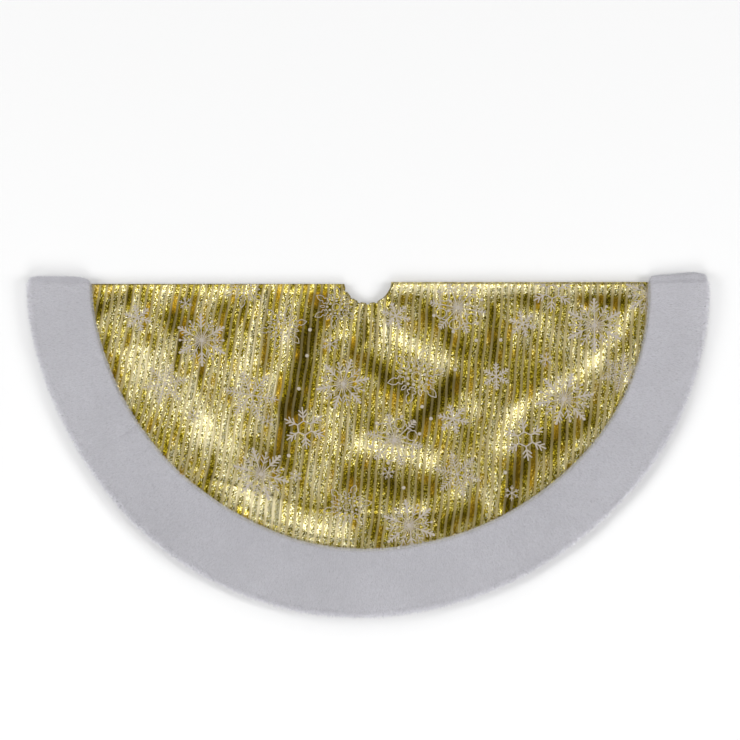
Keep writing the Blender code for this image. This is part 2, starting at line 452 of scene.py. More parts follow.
def cloth_pattern(mesh, half):
    """Lays the weave over the cloth: across the stripes and along them, in metres. The
    stripes lean a little, and more on the left, where the cloth has slipped."""
    layer = mesh.uv_layers.new(name="weave")
    points = points_of(mesh)
    corner = np.empty(len(mesh.loops), int)
    mesh.loops.foreach_get("vertex_index", corner)
    x, y = points[:, 0], points[:, 1]
    v = FOLD_Y - y
    lean = STRIPE_LEAN + LEFT_LEAN * smooth_step(0.05, 0.42, -x) - RIGHT_LEAN * smooth_step(0.1, 0.4, x)
    waver = 0.0009 * np.sin(v * 40 + x * 9) + 0.0004 * np.sin(v * 97 - x * 31)
    across = x + lean * (v - 0.15) + waver
    along = np.where(v > 0, v, FOLD_Z - points[:, 2])
    layer.uv.foreach_set("vector", np.stack((across, along), 1)[corner].astype(np.float32).ravel())
    # The slack attribute holds painted light and shade from the swells and creases, for the gold cloth's
    # colour.
    slack = mesh.attributes.new("slack", "FLOAT", "POINT")
    slack.data.foreach_set("value", painted_swell_light(half, points).astype(np.float32))


STRIPE_PITCH = 0.0121
STRIPE_LEAN, LEFT_LEAN, RIGHT_LEAN = 0.10, 0.11, 0.03  # everywhere, more on the left, less on the right
GLITTER_SHARE = 0.65  # of the pitch that the glittering stripe takes
GLITTER_EDGE = 0.07  # how softly it ends on each side
STRIPE_RAGGED = 0.0011  # how far its edges stray
FLAKE_TILT = 0.26
BRONZE = (0.42, 0.235, 0.015)


def link(tree, source, target):
    tree.links.new(source, target)


def feed(tree, value, socket):
    """Gives a node's socket a number or a vector, or links another node's output to it."""
    if isinstance(value, (int, float, tuple)):
        socket.default_value = value
    else:
        link(tree, value, socket)


def maths(tree, operation, first, second=0.5, third=0.5):
    node = tree.nodes.new("ShaderNodeMath")
    node.operation = operation
    for socket, value in zip(node.inputs, (first, second, third)):
        feed(tree, value, socket)
    return node.outputs[0]


def remap(tree, value, low, high, to_low=0.0, to_high=1.0, smooth=True):
    node = tree.nodes.new("ShaderNodeMapRange")
    node.interpolation_type = "SMOOTHSTEP" if smooth else "LINEAR"
    link(tree, value, node.inputs["Value"])
    limits = {"From Min": low, "From Max": high, "To Min": to_low, "To Max": to_high}
    for socket, number in limits.items():
        node.inputs[socket].default_value = number
    return node.outputs["Result"]


def mixed(tree, factor, first, second):
    """Two colours mixed: 0 is all the first, and 1 all the second."""
    node = tree.nodes.new("ShaderNodeMix")
    node.data_type = "RGBA"
    node.clamp_factor = True
    for number, value in ((0, factor), (6, first), (7, second)):
        feed(tree, (*value, 1.0) if isinstance(value, tuple) else value, node.inputs[number])
    return node.outputs[2]


def noise_texture(tree, vector, scale, detail=2.0, roughness=0.5):
    node = tree.nodes.new("ShaderNodeTexNoise")
    link(tree, vector, node.inputs["Vector"])
    node.inputs["Scale"].default_value = scale
    node.inputs["Detail"].default_value = detail
    node.inputs["Roughness"].default_value = roughness
    return node.outputs["Fac"]


def scaled(tree, vector, scale):
    node = tree.nodes.new("ShaderNodeMapping")
    link(tree, vector, node.inputs["Vector"])
    node.inputs["Scale"].default_value = scale
    return node.outputs["Vector"]


def separated(tree, vector):
    node = tree.nodes.new("ShaderNodeSeparateXYZ")
    link(tree, vector, node.inputs[0])
    return node.outputs


def attribute(tree, name):
    node = tree.nodes.new("ShaderNodeAttribute")
    node.attribute_name = name
    return node.outputs["Fac"]


def weave_place(tree):
    """Where a point lies in the weave: across the stripes, and along them."""
    node = tree.nodes.new("ShaderNodeUVMap")
    node.uv_map = "weave"
    return node.outputs["UV"]


def object_place(tree):
    return tree.nodes.new("ShaderNodeTexCoord").outputs["Object"]


def bumped(tree, height, strength, distance, normal=None):
    node = tree.nodes.new("ShaderNodeBump")
    node.inputs["Strength"].default_value = strength
    node.inputs["Distance"].default_value = distance
    link(tree, height, node.inputs["Height"])
    if normal is not None:
        link(tree, normal, node.inputs["Normal"])
    return node.outputs["Normal"]


def vector_maths(tree, operation, first, second=(0.0, 0.0, 0.0)):
    node = tree.nodes.new("ShaderNodeVectorMath")
    node.operation = operation
    feed(tree, first, node.inputs[0])
    feed(tree, second, node.inputs["Scale" if operation == "SCALE" else 1])
    return node.outputs[0]


def combined(tree, x, y=0.0):
    node = tree.nodes.new("ShaderNodeCombineXYZ")
    feed(tree, x, node.inputs[0])
    feed(tree, y, node.inputs[1])
    return node.outputs[0]


# Colours of the glittering and matte stripes, from deep painted shade up to pale painted highlight,
# picked by the painted tone.
METAL_SHADE_TO_HIGHLIGHT = (
    (0.08, (0.062, 0.043, 0.002)),
    (0.33, (0.205, 0.155, 0.005)),
    (0.55, (0.375, 0.288, 0.016)),
    (0.80, (0.800, 0.680, 0.160)),
    (1.00, (1.000, 0.930, 0.600)),
)
MATTE_SHADE_TO_HIGHLIGHT = (
    (0.05, (0.160, 0.125, 0.044)),
    (0.45, (0.350, 0.284, 0.112)),
    (0.72, (0.510, 0.425, 0.200)),
    (1.00, (0.790, 0.695, 0.420)),
)


def ramp(tree, value, tones):
    node = tree.nodes.new("ShaderNodeValToRGB")
    stops = node.color_ramp.elements
    while len(stops) < len(tones):
        stops.new(0.5)
    for stop, (place, colour) in zip(stops, tones):
        stop.position = place
        stop.color = (*colour, 1.0)
    link(tree, value, node.inputs[0])
    return node.outputs["Color"]


def gold_stripe_cloth():
    """Matte stripes and stripes of flat metal flakes, each flake tilted its own way."""
    material = plain_material("gold_stripe_cloth", (0.6, 0.5, 0.2), 0.4)
    tree = material.node_tree
    shader = tree.nodes["Principled BSDF"]
    weave = weave_place(tree)
    across, along, _ = separated(tree, weave)

    ragged = noise_texture(tree, scaled(tree, weave, (700, 500, 1)), 1.0, 1.0)
    stripes = maths(tree, "MULTIPLY_ADD", ragged, STRIPE_RAGGED, across)
    stripes = maths(tree, "DIVIDE", stripes, STRIPE_PITCH)
    phase = maths(tree, "FRACT", stripes)
    number = maths(tree, "FLOOR", stripes)
    middle = maths(tree, "ABSOLUTE", maths(tree, "SUBTRACT", phase, 0.5))
    glitter = remap(tree, middle, GLITTER_SHARE / 2 + GLITTER_EDGE, GLITTER_SHARE / 2 - GLITTER_EDGE)

    def along_stripe(apart, waves, detail):
        """Slow noise along each stripe, which differs from one stripe to the next."""
        stripe = maths(tree, "MULTIPLY", number, apart)
        place = combined(tree, stripe, maths(tree, "MULTIPLY", along, waves))
        return noise_texture(tree, place, 1.0, detail)

    # Each stripe is puckered its own way along its length, and domed across it.
    pucker = maths(tree, "SUBTRACT", along_stripe(5.3, 13.0, 2.0), 0.5)
    pucker = maths(tree, "MULTIPLY", pucker, remap(tree, across, -0.10, 0.12, 2.6, 1.2))
    dome = maths(tree, "MULTIPLY_ADD", phase, 0.28, -0.14)
    lean = combined(tree, maths(tree, "MULTIPLY_ADD", pucker, 0.40, dome))

    flakes = tree.nodes.new("ShaderNodeTexVoronoi")
    flakes.inputs["Scale"].default_value = 1.0
    link(tree, scaled(tree, weave, (800, 620, 1)), flakes.inputs["Vector"])
    tilt = vector_maths(tree, "SUBTRACT", flakes.outputs["Color"], (0.5, 0.5, 0.5))
    tilt = vector_maths(tree, "MULTIPLY", tilt, (FLAKE_TILT, FLAKE_TILT, 0.0))
    tilt = vector_maths(tree, "ADD", tilt, lean)
    geometry = tree.nodes.new("ShaderNodeNewGeometry")
    facing = vector_maths(tree, "SCALE", tilt, glitter)
    facing = vector_maths(tree, "ADD", geometry.outputs["Normal"], facing)
    facing = vector_maths(tree, "NORMALIZE", facing)

    # Painted light and shade: the colour is lighter where a swell tilts towards the key light and darker
    # where it tilts away or a crease is hollow, and each stripe's pucker adds painted lighter and darker
    # streaks along it.
    fine = noise_texture(tree, scaled(tree, weave, (1500, 1100, 1)), 1.0, 2.0)
    grain = maths(tree, "SUBTRACT", fine, 0.5)
    # The tone is painted light and shade: the slack attribute plus streaks that follow each stripe's
    # pucker.
    tone = maths(tree, "MULTIPLY_ADD", pucker, 0.62, attribute(tree, "slack"))
    # Painted glints: each flake's colour is lighter or darker at random, more so where the painted light
    # is bright, over the weave's random grain.
    shade = maths(tree, "SUBTRACT", separated(tree, flakes.outputs["Color"])["Z"], 0.5)
    sparkle = maths(tree, "MULTIPLY", shade, remap(tree, tone, 0.1, 0.9, 0.6, 1.5))
    flake_grain_and_painted_light = maths(tree, "ADD", sparkle, tone)
    flake_grain_and_painted_light = maths(tree, "MULTIPLY_ADD", grain, 0.35, flake_grain_and_painted_light)
    metal = ramp(tree, flake_grain_and_painted_light, METAL_SHADE_TO_HIGHLIGHT)
    # Random stretches of the stripes are tinted bronze, more strongly where the painted shade is deep.
    bronzed = remap(tree, along_stripe(9.1, 17.0, 1.0), 0.50, 0.68, 0.0, 0.65)
    bronzed = maths(tree, "MULTIPLY", bronzed, remap(tree, tone, 0.75, 0.35))
    metal = mixed(tree, bronzed, metal, BRONZE)
    matte = ramp(tree, maths(tree, "MULTIPLY_ADD", grain, 0.4, tone), MATTE_SHADE_TO_HIGHLIGHT)
    link(tree, mixed(tree, glitter, matte, metal), shader.inputs["Base Color"])
    link(tree, remap(tree, glitter, 0, 1, 0.50, 0.32, smooth=False), shader.inputs["Roughness"])
    link(tree, remap(tree, glitter, 0, 1, 0.60, 1.0, smooth=False), shader.inputs["Metallic"])
    link(tree, bumped(tree, fine, 0.35, 0.0003, facing), shader.inputs["Normal"])
    return material


gold_cloth = gold_stripe_cloth()


def across_crease(piece):
    """Bakes the piece's placing into its mesh."""
    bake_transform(piece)


def thicken(piece, thickness):
    """Gives a sheet its thickness, inwards from its outer face."""
    wall = piece.modifiers.new("thickness", "SOLIDIFY")
    wall.thickness = thickness
    wall.offset = -1


FACE_RINGS, FACE_STEPS = 112, 372
FACE_THICKNESS = 0.0004
for half, out in HALVES.items():
    mesh = half_ring(f"{half}_face_cloth", HOLE, FACE_EDGE, FACE_RINGS, FACE_STEPS)
    points = points_of(mesh)
    points[:, 2] = FOLD_Z + out * cloth_level(half, points[:, 0], points[:, 1])
    move_points(mesh, points)
    outward(mesh, half)
    cloth_pattern(mesh, half)
    move_points(mesh, drawn_in(points, half))
    piece = add_piece(f"{half}_face_cloth", mesh, gold_cloth)
    thicken(piece, FACE_THICKNESS)
    across_crease(piece)
    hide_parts(f"{half}_left_face_cloth", f"{half}_right_face_cloth")

# ------------------------------------------------------------------- the fold's rolls
# On the right the cloth runs on round the half fold, from the front's face to the back's.

ROLL_STEPS_ALONG, ROLL_STEPS_ROUND = 200, 16


def round_fold(piece):
    """Bakes the piece's placing into its mesh."""
    top = max(abs(z - FOLD_Z) for z in points_of(piece.data)[:, 2])
    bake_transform(piece)


def face_roll():
    """The face cloth's strip round the fold, set out as a flat grid and then rolled, and
    the length of its arc."""
    strip = bmesh.new()
    bmesh.ops.create_grid(strip, x_segments=ROLL_STEPS_ALONG, y_segments=ROLL_STEPS_ROUND, size=0.5)
    mesh = mesh_of(strip, "fold_face_cloth")
    points = points_of(mesh)
    x = HOLE + (points[:, 0] + 0.5) * (FACE_EDGE - HOLE)
    turn = 1 - (points[:, 1] + 0.5) * 2
    start = cloth_level("front", x, np.full_like(x, FOLD_Y))
    deep = ROLL_CENTRE + ROLL_REACH
    edge = math.asin(ROLL_CENTRE / deep)
    angle = math.pi / 2 - turn * (math.pi / 2 - edge)
    rise = start / math.cos(edge)
    y = FOLD_Y - ROLL_CENTRE + deep * np.sin(angle)
    move_points(mesh, np.stack((x, y, FOLD_Z + rise * np.cos(angle)), 1))
    return mesh, float(np.mean(math.pi * (rise + deep) / 2 * (1 - 2 * edge / math.pi)))


mesh, roll_arc = face_roll()
turn_out(mesh, (0, 1, 0))
cloth_pattern(mesh, "front")
move_points(mesh, drawn_in(points_of(mesh), "front"))
fold_face = add_piece("fold_face_cloth", mesh, gold_cloth)
round_fold(fold_face)

# ------------------------------------------------------------------ printed snowflakes
# Snowflakes printed on the face cloth in thick pale ink, in seven designs. The ink is a
# thin raised film that follows the cloth, and is cut off where a design meets an edge.

INK_LIFT = 0.00028  # of the ink's top over the cloth
INK_STEP = 0.0030  # the longest run of ink that doesn't bend with the cloth

# One arm of each design, pointing up, from the middle to a radius of 1. A stroke is from,
# to and width, and a dot is its centre and radius.
TWIG = "stroke"
DOT = "dot"


def twigs(*stems):
    """Pairs of side twigs: (where on the arm, reach sideways, reach up, width)."""
    strokes = []
    for up, side, rise, width in stems:
        for way in (-1, 1):
            strokes.append((TWIG, (0.0, up), (way * side, up + rise), width))
    return strokes


def chain(width, *points):
    """A line through several points, on both sides of the arm."""
    strokes = []
    for way in (-1, 1):
        turned = [(way * x, y) for x, y in points]
        strokes += [(TWIG, a, b, width) for a, b in zip(turned, turned[1:])]
    return strokes


def arm(start, end, width):
    return [(TWIG, (0.0, start), (0.0, end), width)]


def dots(*places):
    """Dots on the arm: (where on the arm, radius)."""
    return [(DOT, (0.0, up), radius) for up, radius in places]


def ladder(width, *stems):
    """Pairs of side twigs that are all equally wide."""
    return twigs(*((*stem, width) for stem in stems))


# Each design is a list of (number of arms, turn of the first in degrees, strokes)
TWELVE_LONG = ladder(0.05, (0.48, 0.17, 0.17), (0.64, 0.15, 0.15), (0.79, 0.11, 0.11))
TWELVE_SHORT = ladder(0.042, (0.42, 0.13, 0.14), (0.58, 0.13, 0.14))
CURLS_COMB = (
    twigs((0.60, 0.13, 0.07, 0.04), (0.70, 0.14, 0.09, 0.045))
    + twigs((0.80, 0.12, 0.09, 0.045), (0.89, 0.08, 0.07, 0.04))
)
CURL = chain(0.036, (0, 0.42), (0.13, 0.48), (0.19, 0.61), (0.15, 0.74), (0, 0.79))
PETAL_TIP = ((0, 1.0), (0.10, 0.86), (0.12, 0.74), (0.06, 0.64))
PETAL_BASE = ((0.13, 0.60), (0.15, 0.52), (0.07, 0.50), (0.10, 0.42), (0, 0.40))
BUD = chain(0.034, (0, 0.70), (0.05, 0.60), (0.05, 0.52), (0, 0.47))
DENSE_TWIGS = ladder(0.10, (0.28, 0.19, 0.17), (0.50, 0.22, 0.20), (0.74, 0.16, 0.15))
HEXAGON_TWIGS = twigs((0.48, 0.20, 0.20, 0.075), (0.66, 0.18, 0.20, 0.07))
FIR_LOW = ladder(0.04, (0.22, 0.16, 0.11), (0.34, 0.19, 0.13), (0.46, 0.19, 0.14))
FIR_HIGH = ladder(0.04, (0.58, 0.17, 0.13), (0.70, 0.13, 0.11), (0.82, 0.09, 0.08))
DESIGNS = {
    "twelve": [
        (6, 0, arm(0, 0.95, 0.044) + arm(0.52, 0.93, 0.085) + TWELVE_LONG + dots((0.97, 0.055))),
        (6, 30, arm(0, 0.80, 0.036) + TWELVE_SHORT + dots((0.83, 0.05))),
        (12, 15, arm(0.13, 0.34, 0.024)),
    ],
    "curls": [
        (6, 0, arm(0, 0.98, 0.042) + CURLS_COMB),
        (6, 30, arm(0, 0.42, 0.036) + CURL + dots((0.87, 0.06), (0.34, 0.05))),
        (12, 15, arm(0.12, 0.30, 0.024)),
    ],
    "petals": [
        (6, 0, chain(0.036, *PETAL_TIP, *PETAL_BASE) + dots((0.29, 0.055))),
        (6, 30, BUD + dots((0.38, 0.05))),
        (12, 0, chain(0.036, (0, 0.16), (0.042, 0.155))),
    ],
    "dense": [
        (6, 0, arm(0, 1.0, 0.11) + DENSE_TWIGS),
    ],
    "hexagon": [
        (6, 0, arm(0.34, 1.0, 0.075) + HEXAGON_TWIGS + [(TWIG, (0.0, 0.34), (0.294, 0.17), 0.065)]),
    ],
    "fir": [
        (6, 0, arm(0, 1.0, 0.045) + FIR_LOW + FIR_HIGH),
        (6, 30, dots((0.46, 0.045), (0.62, 0.035))),
    ],
    "asterisk": [
        (6, 0, arm(0, 1.0, 0.12) + ladder(0.11, (0.52, 0.24, 0.24))),
    ],
}

# (design, across, distance from the fold line, radius)
FRONT_FLAKES = (
    ("asterisk", -0.327, 0.038, 0.013),
    ("dense", -0.414, 0.065, 0.026),
    ("twelve", -0.299, 0.107, 0.049),
    ("petals", -0.220, 0.007, 0.039),
    ("petals", -0.151, 0.081, 0.043),
    ("petals", -0.059, 0.046, 0.040),
    ("asterisk", -0.067, 0.113, 0.016),
    ("fir", -0.368, 0.191, 0.043),
    ("twelve", -0.044, 0.187, 0.047),
    ("fir", -0.208, 0.209, 0.051),
    ("hexagon", -0.112, 0.268, 0.039),
    ("asterisk", -0.178, 0.257, 0.013),
    ("asterisk", -0.316, 0.251, 0.013),
    ("curls", 0.161, 0.046, 0.052),
    ("dense", 0.052, 0.063, 0.026),
    ("dense", 0.277, 0.076, 0.026),
    ("hexagon", 0.331, 0.016, 0.038),
    ("twelve", 0.402, 0.078, 0.049),
    ("twelve", 0.496, 0.020, 0.044),
    ("petals", 0.086, 0.174, 0.052),
    ("dense", 0.229, 0.174, 0.026),
    ("asterisk", 0.319, 0.143, 0.014),
    ("dense", 0.152, 0.253, 0.029),
    ("twelve", 0.349, 0.216, 0.049),
    ("hexagon", 0.281, 0.293, 0.039),
    ("curls", 0.048, 0.291, 0.052),
    ("fir", 0.444, 0.165, 0.038),
    ("twelve", -0.191, 0.358, 0.051),
    ("fir", 0.160, 0.358, 0.044),
    ("petals", -0.036, 0.416, 0.044),
    ("twelve", 0.074, 0.452, 0.048),
    ("asterisk", 0.036, 0.353, 0.013),
    ("asterisk", -0.128, 0.358, 0.013),
    ("asterisk", 0.256, 0.391, 0.014),
)
# Loose dots between them: (across, distance from the fold line)
INK_DOTS = (
    *((-0.103, 0.087), (-0.108, 0.135), (-0.122, 0.196), (-0.140, 0.320)),
    *((0.193, 0.107), (0.237, 0.106), (0.155, 0.161), (0.112, 0.251)),
    *((0.082, 0.257), (0.096, 0.229), (0.245, 0.355), (0.064, 0.382)),
)
INK_DOT = 0.0033  # their radius
STROKE_SHARE, THINNEST_STROKE = 0.82, 0.0009
INK_LAYER = 0.000004  # one stroke lies over the next, so that they don't flicker
INK_DARK, INK_LIGHT, INK_GILT = (0.41, 0.36, 0.305), (0.51, 0.455, 0.40), (0.50, 0.43, 0.22)


def snowflake(design, radius):
    """A flat snowflake about the origin, its strokes cut into short runs."""
    flake = bmesh.new()
    layer = 0
    for arms, first, strokes in DESIGNS[design]:
        for number in range(arms):
            turn = Matrix.Rotation(math.radians(first + 360 / arms * number), 4, "Z")
            for kind, start, end, *width in strokes:
                layer += 1
                lift = Matrix.Translation((0, 0, INK_LAYER * (layer % 23)))
                a = Vector(start) * radius
                if kind == DOT:
                    place = lift @ turn @ Matrix.Translation((*a, 0))
                    bmesh.ops.create_circle(
                        flake, cap_ends=True, segments=10, radius=end * radius, matrix=place
                    )
                    continue
                b = Vector(end) * radius
                run = b - a
                long = run.length
                wide = max(STROKE_SHARE * width[0] * radius, THINNEST_STROKE)
                way = Matrix.Rotation(math.atan2(run.y, run.x), 4, "Z")
                size = Matrix.Diagonal((long, wide, 1, 1))
                middle = (a + b) / 2
                bmesh.ops.create_grid(
                    flake,
                    x_segments=max(1, round(long / INK_STEP)),
                    y_segments=1,
                    size=0.5,
                    matrix=lift @ turn @ Matrix.Translation((*middle, 0)) @ way @ size,
                )
    return flake


def ink_material():
    """Matte pale ink, a little see-through over the glittering stripes."""
    material = plain_material("snowflake_ink", INK_DARK, 0.5)
    tree = material.node_tree
    shader = tree.nodes["Principled BSDF"]
    weave = weave_place(tree)
    phase = maths(tree, "FRACT", maths(tree, "DIVIDE", separated(tree, weave)["X"], STRIPE_PITCH))
    under = remap(tree, maths(tree, "ABSOLUTE", maths(tree, "SUBTRACT", phase, 0.5)), 0.36, 0.22)
    speckle = noise_texture(tree, scaled(tree, weave, (900, 650, 1)), 1.0, 2.0)
    through = maths(tree, "MULTIPLY", under, remap(tree, speckle, 0.50, 0.66))
    thickness = noise_texture(tree, scaled(tree, weave, (160, 160, 1)), 1.0, 2.0)
    ink = mixed(tree, thickness, INK_DARK, INK_LIGHT)
    link(tree, mixed(tree, through, ink, INK_GILT), shader.inputs["Base Color"])
    link(tree, remap(tree, through, 0, 1, 0.0, 0.6, smooth=False), shader.inputs["Metallic"])
    link(tree, remap(tree, speckle, 0.2, 0.8, 0.42, 0.62), shader.inputs["Roughness"])
    link(tree, bumped(tree, speckle, 0.3, 0.0003), shader.inputs["Normal"])
    return material


snowflake_ink = ink_material()
for half, out in HALVES.items():
    rng = np.random.default_rng(5 if half == "front" else 6)
    print_run = bmesh.new()
    for design, x, v, radius in FRONT_FLAKES:
        flake = snowflake(design, radius)
        spin = Matrix.Rotation(rng.uniform(-0.35, 0.35), 4, "Z")
        place = Matrix.Translation((x * out, FOLD_Y - v, 0)) @ spin
        bmesh.ops.transform(flake, matrix=place, verts=flake.verts)
        flat = mesh_of(flake, "flake")
        print_run.from_mesh(flat)
        bpy.data.meshes.remove(flat)
    for x, v in INK_DOTS:
        place = Matrix.Translation((x * out, FOLD_Y - v, 0))
        bmesh.ops.create_circle(
            print_run, cap_ends=True, segments=12, radius=INK_DOT, matrix=place
        )
    bmesh.ops.bisect_plane(
        print_run,
        geom=print_run.verts[:] + print_run.edges[:] + print_run.faces[:],
        plane_co=(0, FOLD_Y - 0.0012, 0),
        plane_no=(0, 1, 0),
        clear_outer=True,
    )
    past = [
        vert
        for vert in print_run.verts
        if not HOLE + 0.004 < math.hypot(vert.co.x, vert.co.y - FOLD_Y) < SEAM + 0.005
    ]
    bmesh.ops.delete(print_run, geom=past, context="VERTS")
    mesh = mesh_of(print_run, f"{half}_snowflakes")
    points = points_of(mesh)
    level = cloth_level(half, points[:, 0], points[:, 1]) + INK_LIFT + points[:, 2]
    points[:, 2] = FOLD_Z + out * level
    move_points(mesh, points)
    outward(mesh, half)
    cloth_pattern(mesh, half)
    move_points(mesh, drawn_in(points, half))
    flakes = add_piece(f"{half}_snowflakes", mesh, snowflake_ink)
    across_crease(flakes)

# ------------------------------------------------------------------------- the linings
# Plain white woven cloth under each half, hemmed to the face cloth at the hole and the
# slit, and caught under the border at the rim.

LINING_EDGE = RIM - 0.008
LINING_RINGS, LINING_STEPS = 60, 240
LINING_THICKNESS = 0.0003
LINING_SLACK = 0.00012


def woven_group():
    """Plain weave: threads over and under each other, as a height, and as a shade that is painted shade
    where the threads dip under, mixed with slub along them.
    """
    group = bpy.data.node_groups.new("plain_weave", "ShaderNodeTree")
    group.interface.new_socket("Place", in_out="INPUT", socket_type="NodeSocketVector")
    group.interface.new_socket("Threads", in_out="INPUT", socket_type="NodeSocketFloat")
    group.interface.new_socket("Height", in_out="OUTPUT", socket_type="NodeSocketFloat")
    group.interface.new_socket("Shade", in_out="OUTPUT", socket_type="NodeSocketFloat")
    given, made = group.nodes.new("NodeGroupInput"), group.nodes.new("NodeGroupOutput")
    place = vector_maths(group, "SCALE", given.outputs["Place"], given.outputs["Threads"])
    across, along, _ = separated(group, place)
    warp = maths(group, "SINE", maths(group, "MULTIPLY", across, math.tau))
    weft = maths(group, "SINE", maths(group, "MULTIPLY", along, math.tau))
    height = maths(group, "MULTIPLY_ADD", maths(group, "MULTIPLY", warp, weft), 0.5, 0.5)
    slub = noise_texture(group, scaled(group, place, (0.05, 0.6, 0.6)), 1.0, 2.0)
    link(group, height, made.inputs["Height"])
    # Painted shade: darker where the threads dip, with random slub over it.
    shade = maths(group, "MULTIPLY_ADD", height, 0.35, maths(group, "MULTIPLY", slub, 0.65))
    link(group, shade, made.inputs["Shade"])
    return group


weave_group = woven_group()


def woven_material(name, dark, light, threads, roughness, bump=0.0002):
    """A finish in plain weave, with so many threads to the metre."""
    material = plain_material(name, light, roughness)
    tree = material.node_tree
    shader = tree.nodes["Principled BSDF"]
    weave = tree.nodes.new("ShaderNodeGroup")
    weave.node_tree = weave_group
    weave.inputs["Threads"].default_value = threads
    link(tree, object_place(tree), weave.inputs["Place"])
    link(tree, mixed(tree, weave.outputs["Shade"], dark, light), shader.inputs["Base Color"])
    link(tree, bumped(tree, weave.outputs["Height"], 0.5, bump), shader.inputs["Normal"])
    return material


lining_cloth = woven_material("lining_cloth", (0.60, 0.60, 0.60), (0.80, 0.80, 0.79), 900.0, 0.8)
for half, out in HALVES.items():
    mesh = half_ring(f"{half}_lining", HOLE, LINING_EDGE, LINING_RINGS, LINING_STEPS)
    points = points_of(mesh)
    x, v = points[:, 0], FOLD_Y - points[:, 1]
    slack = np.sin(x * 31 + 1.3 * np.sin(v * 17)) * np.sin(v * 26 + 1.1 * np.sin(x * 13))
    points[:, 2] = FOLD_Z + out * (LINING_LEVEL + LINING_SLACK * slack)
    move_points(mesh, drawn_in(points, half))
    outward(mesh, half)
    piece = add_piece(f"{half}_lining", mesh, lining_cloth)
    thicken(piece, LINING_THICKNESS)
    across_crease(piece)
    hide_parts(f"{half}_left_lining", f"{half}_right_lining")

# ------------------------------------------------------------------------ plush border
# A ring of short-pile plush, sewn over the face cloth's edge and turned round the
# lining's. The ground cloth is one crowned band to each half, and the pile stands on it.

LAP_LEVEL = FACE_LEVEL + 0.0004  # the border's underside over the face cloth
GROUND_LEVEL = BORDER_LEVEL - 0.0036  # the ground cloth's top, under its pile
GROUND_CROWN = 0.0045  # how round its edges are
MIDDLE_CROWN = 0.0008  # how much higher its middle is
GROUND_EDGE = RIM - 0.0035
BORDER_STEPS = 300
FOLD_STRETCH = 2.45  # how much further the fold's soft ends bulge out than up
FOLD_STEPS = 20
SLIT_END = 0.0110  # the border's closed end stands this far past the slit
SLIT_STEPS = 8
SLIT_EDGE = 0.30  # the share of its height that is left at its very end


def border_profile(inner, outer, under, top, crown, steps=5):
    """The border's cross-section as (radius, level): flat below and crowned on top."""
    turns = [math.pi / 2 * i / steps for i in range(steps + 1)]
    rounding = [(crown * (1 - math.cos(t)), crown * (1 - math.sin(t))) for t in turns]
    up = [(outer - inwards, top - down) for inwards, down in rounding]
    across = [
        (outer - (outer - inner) * share, top + MIDDLE_CROWN * math.sin(math.pi * share))
        for share in (0.2, 0.35, 0.5, 0.65, 0.8)
    ]
    back = [(inner + inwards, top - down) for inwards, down in reversed(rounding)]
    return [(inner, under), (outer - 0.002, under), *up, *across, *back]


def border_band(name, half, profile, closed=True, start=0.0, turn=math.pi, steps=BORDER_STEPS):
    """A band of the border: its cross-section turned about the middle of the hole."""
    x, y = math.cos(start), math.sin(start)
    ring = [(r * x, FOLD_Y - r * y, FOLD_Z + HALVES[half] * level) for r, level in profile]
    return mesh_of(turned(ring, closed, (0, 0, 1), (0, FOLD_Y, 0), -turn, steps), name)


def plush_surface(points):
    """Soft dents and swells of the border, as a height of about -1 to 1 at each point."""
    x, y = points[:, 0], points[:, 1]
    rng = np.random.default_rng(12)
    height = np.zeros(len(points))
    for _ in range(26):
        wave = rng.uniform(12, 55)
        way = rng.uniform(0, math.tau)
        start = rng.uniform(0, math.tau)
        height += np.sin(wave * (x * math.cos(way) + y * math.sin(way)) + start) / 5
    return height


def pile_material(name, light, dark, painted_root_shade):
    """Fibres with painted shade darkening them towards their roots, darker in wide patches, and
    differing a little from one to the next.
    """
    material = plain_material(name, light, 0.85)
    tree = material.node_tree
    shader = tree.nodes["Principled BSDF"]
    shader.inputs["Sheen Weight"].default_value = 0.25
    shader.inputs["Sheen Roughness"].default_value = 0.5
    place = object_place(tree)
    clumps = noise_texture(tree, place, 60.0, 3.0)
    wide = noise_texture(tree, place, 7.0, 2.0)
    shade = mixed(tree, attribute(tree, "tone"), dark, light)
    shade = mixed(tree, remap(tree, clumps, 0.3, 0.7, 0.35, 0.0), shade, dark)
    shade = mixed(tree, remap(tree, wide, 0.35, 0.65, 0.35, 0.0), shade, painted_root_shade)
    # Painted shade at the roots, where the pile shadows itself.
    shade = mixed(tree, remap(tree, attribute(tree, "along"), 0.0, 0.6), painted_root_shade, shade)
    link(tree, shade, shader.inputs["Base Color"])
    return material


def ground_material():
    """The plush's knitted ground, which hardly shows between the fibres."""
    dark, light = (0.52, 0.515, 0.54), (0.64, 0.635, 0.662)
    material = plain_material("plush_ground", dark, 0.95)
    tree = material.node_tree
    nap = noise_texture(tree, object_place(tree), 900.0, 3.0)
    shader = tree.nodes["Principled BSDF"]
    link(tree, mixed(tree, nap, dark, light), shader.inputs["Base Color"])
    link(tree, bumped(tree, nap, 0.6, 0.0012), shader.inputs["Normal"])
    return material


plush_ground = ground_material()
plush_pile = pile_material(
    "plush_pile", light=(0.785, 0.778, 0.818), dark=(0.745, 0.738, 0.776), painted_root_shade=(0.66, 0.654, 0.686)
)
# The seam's pile is paler and warmer than the rest: painted light reflected from the gold cloth onto the
# plush's inner edge.
seam_pile_painted_gold_light = pile_material(
    "seam_pile_painted_gold_light", light=(0.84, 0.825, 0.82), dark=(0.80, 0.785, 0.77), painted_root_shade=(0.76, 0.74, 0.69)
)


